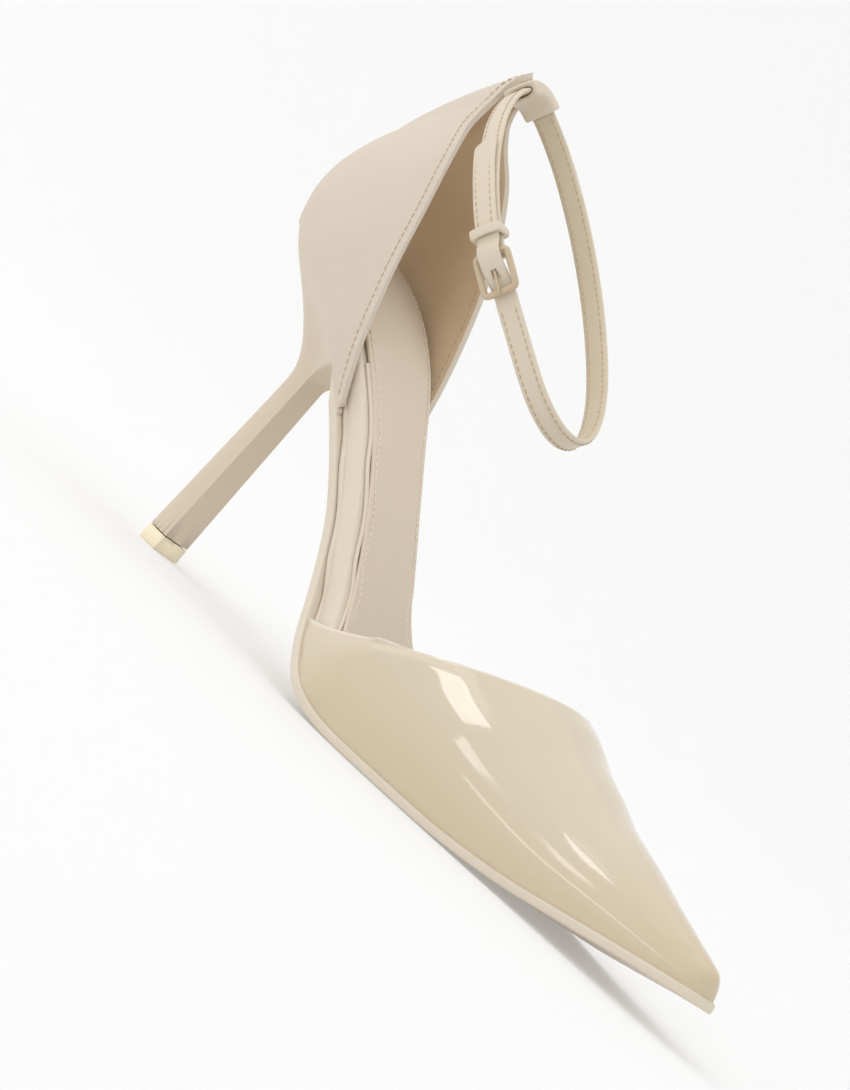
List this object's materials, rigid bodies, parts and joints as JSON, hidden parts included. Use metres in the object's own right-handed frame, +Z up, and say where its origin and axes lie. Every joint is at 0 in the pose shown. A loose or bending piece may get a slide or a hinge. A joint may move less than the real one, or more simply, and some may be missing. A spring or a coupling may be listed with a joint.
{
  "type": "ankle strap pump",
  "caption": "Pointed high-heeled pump for the right foot: low clear vamp, open waist, high closed back and a buckled ankle strap through a tab behind the ankle.",
  "frame": {"origin": "on the floor under the middle of the shoe's overall box", "axes": "+Z up, toe towards -Y, outer side of the right foot towards -X"},
  "size_m": [0.0722, 0.2424, 0.1508],
  "materials": {
    "beige_leather": "smooth, matte",
    "cream_edge": "satin",
    "glossy_vinyl": "glossy, see-through at a glance",
    "lift_rubber": "matte",
    "beige_enamel": "glossy enamel"
  },
  "bodies": {
    "root": {"outsole": "cream_edge", "insole_board": "beige_leather", "sock": "beige_leather", "vamp": "glossy_vinyl", "counter": "beige_leather", "heel": "beige_leather", "top_lift": "lift_rubber", "ankle_strap": "beige_leather", "back_tab": "beige_leather", "keeper": "beige_leather", "buckle_frame": "beige_enamel", "buckle_prong": "beige_enamel"}
  },
  "joints": []
}
